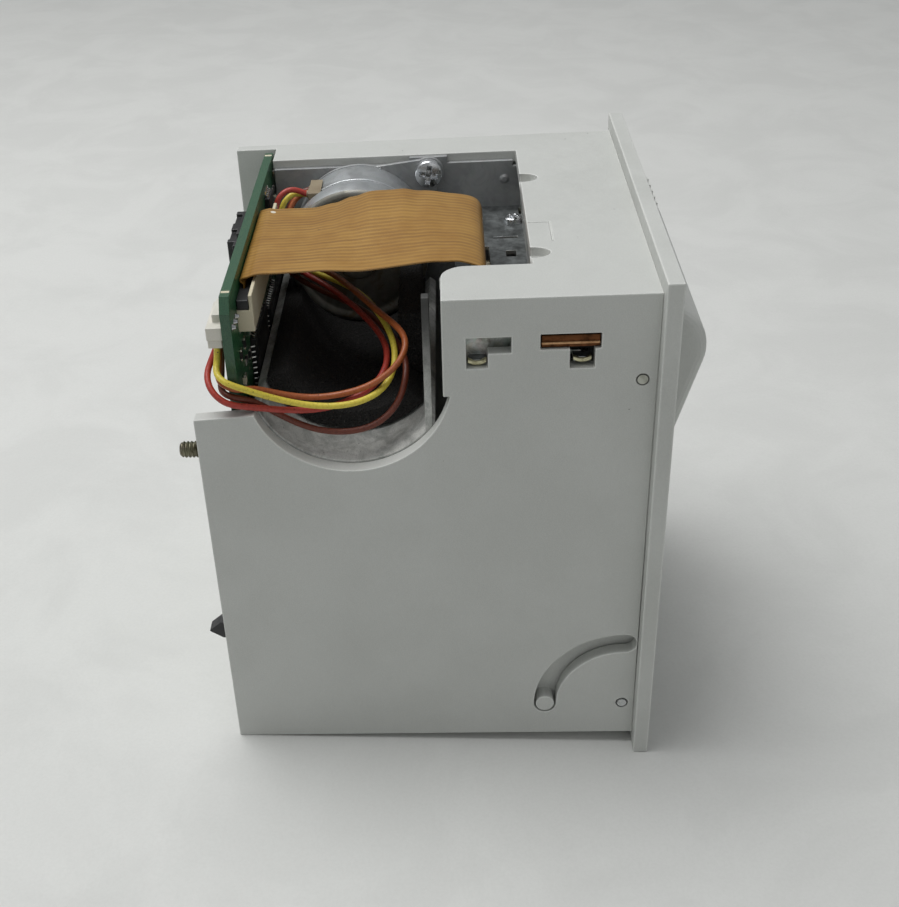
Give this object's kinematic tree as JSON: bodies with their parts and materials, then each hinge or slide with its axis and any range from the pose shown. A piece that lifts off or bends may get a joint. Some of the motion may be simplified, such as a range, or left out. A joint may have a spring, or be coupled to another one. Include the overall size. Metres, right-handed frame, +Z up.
{
  "type": "panel-mount thermal chart recorder module",
  "caption": "Panel-mount thermal strip recorder with a drop-down front door, platen roller, geared stepper, thermal head, controller board and motor leads.",
  "frame": {"origin": "middle of the underside of the bounding box; the front frame's lower edge is at this height", "axes": "+X towards the gear side, +Y backwards away from the door, +Z up, as the module sits in a panel"},
  "size_m": [0.0802, 0.0862, 0.0932],
  "materials": {
    "housing_plastic": "satin moulded, light warm grey",
    "door_plastic": "satin moulded, light warm grey",
    "trough_plastic": "moulded, grey, scuffed",
    "black_plastic": "moulded, black",
    "natural_plastic": "moulded, natural white",
    "zinc_steel": "zinc plated, dull",
    "plated_steel": "bright plated",
    "yellowed_steel": "passivated, olive",
    "spring_steel": "bright",
    "brass": "plain",
    "bare_aluminium": "milled",
    "platen_rubber": "ground",
    "foam": "open-cell, black",
    "ceramic": "glazed",
    "board_green": "solder mask",
    "flex_amber": "polyimide film",
    "wire_yellow": "extruded sleeve",
    "wire_red": "extruded sleeve",
    "wire_orange": "extruded sleeve",
    "wire_brown": "extruded sleeve"
  },
  "bodies": {
    "frame": {"housing": "housing_plastic", "bezel": "housing_plastic", "latch_pins": "plated_steel", "button_spring": "spring_steel", "tear_bar": "spring_steel", "transfer_bush": "brass", "idler_studs": "plated_steel", "gear_plate": "zinc_steel", "motor_can": "zinc_steel", "motor_flange": "zinc_steel", "motor_bearing_cap": "zinc_steel", "motor_lead_block": "natural_plastic", "motor_screws": "plated_steel", "motor_trough": "trough_plastic", "foam_liner": "foam", "bay_partition": "housing_plastic", "paper_tray": "housing_plastic", "head_carrier": "zinc_steel", "head_pivot": "plated_steel", "head_springs": "spring_steel", "head_connector": "natural_plastic", "carrier_screws": "plated_steel", "paper_sensor": "black_plastic", "controller_board": "board_green", "board_chips": "black_plastic", "board_capacitors": "black_plastic", "flex_socket": "natural_plastic", "rear_connector": "black_plastic", "motor_header": "natural_plastic", "motor_plug": "natural_plastic", "flex_cable": "flex_amber", "lead_yellow": "wire_yellow", "lead_red": "wire_red", "lead_orange": "wire_orange", "lead_brown": "wire_brown", "rear_studs": "yellowed_steel", "rear_catch": "black_plastic"},
    "front_door": {"door": "door_plastic", "hinge_pins": "plated_steel", "platen_bushes": "natural_plastic"},
    "platen": {"platen_rubber": "platen_rubber", "platen_shaft": "plated_steel", "platen_gear": "natural_plastic"},
    "transfer": {"transfer_shaft": "plated_steel", "transfer_wheel": "natural_plastic", "transfer_gear": "natural_plastic"},
    "idler_2": {"idler_gear_2": "natural_plastic"},
    "idler_1": {"idler_gear_1": "natural_plastic"},
    "rotor": {"motor_shaft": "plated_steel", "motor_pinion": "brass"},
    "thermal_head": {"heat_sink": "bare_aluminium", "print_head": "ceramic"},
    "button": {"release_button": "door_plastic"},
    "socket_lock": {"flex_lock": "black_plastic"}
  },
  "joints": [
    {"name": "door_hinge", "type": "hinge", "parent": "frame", "child": "front_door", "pos_m": [0, -0.0315, 0.0097], "axis": [1, 0, 0], "range_deg": [0, 90]},
    {"name": "platen_spin", "type": "hinge", "parent": "front_door", "child": "platen", "pos_m": [0, -0.0352, 0.0754], "axis": [1, 0, 0], "continuous": true},
    {"name": "transfer_spin", "type": "hinge", "parent": "frame", "child": "transfer", "pos_m": [0, -0.0232, 0.0754], "axis": [1, 0, 0], "continuous": true},
    {"name": "idler_2_spin", "type": "hinge", "parent": "frame", "child": "idler_2", "pos_m": [0, -0.00922, 0.07606], "axis": [1, 0, 0], "continuous": true},
    {"name": "idler_1_spin", "type": "hinge", "parent": "frame", "child": "idler_1", "pos_m": [0, 0.0037, 0.07459], "axis": [1, 0, 0], "continuous": true},
    {"name": "rotor_spin", "type": "hinge", "parent": "frame", "child": "rotor", "pos_m": [0, 0.0149, 0.0772], "axis": [1, 0, 0], "continuous": true},
    {"name": "head_pivot", "type": "hinge", "parent": "frame", "child": "thermal_head", "pos_m": [0, -0.0267, 0.0642], "axis": [1, 0, 0], "range_deg": [-3, 0], "stiffness_Nm_per_rad": 0.2, "springref_deg": 3.44},
    {"name": "button_press", "type": "slide", "parent": "frame", "child": "button", "axis": [0, 1, 0], "range_m": [0, 0.0012], "stiffness_N_per_m": 400, "springref_m": -0.0008},
    {"name": "flex_lock_slide", "type": "slide", "parent": "frame", "child": "socket_lock", "axis": [0, 0, 1], "range_m": [0, 0.0005]}
  ],
  "couplings": [
    {"joint": "transfer_spin", "follows": "platen_spin", "ratio": -0.71429},
    {"joint": "idler_2_spin", "follows": "platen_spin", "ratio": 1.2857},
    {"joint": "idler_1_spin", "follows": "platen_spin", "ratio": -0.80357},
    {"joint": "rotor_spin", "follows": "platen_spin", "ratio": 1.8367}
  ]
}
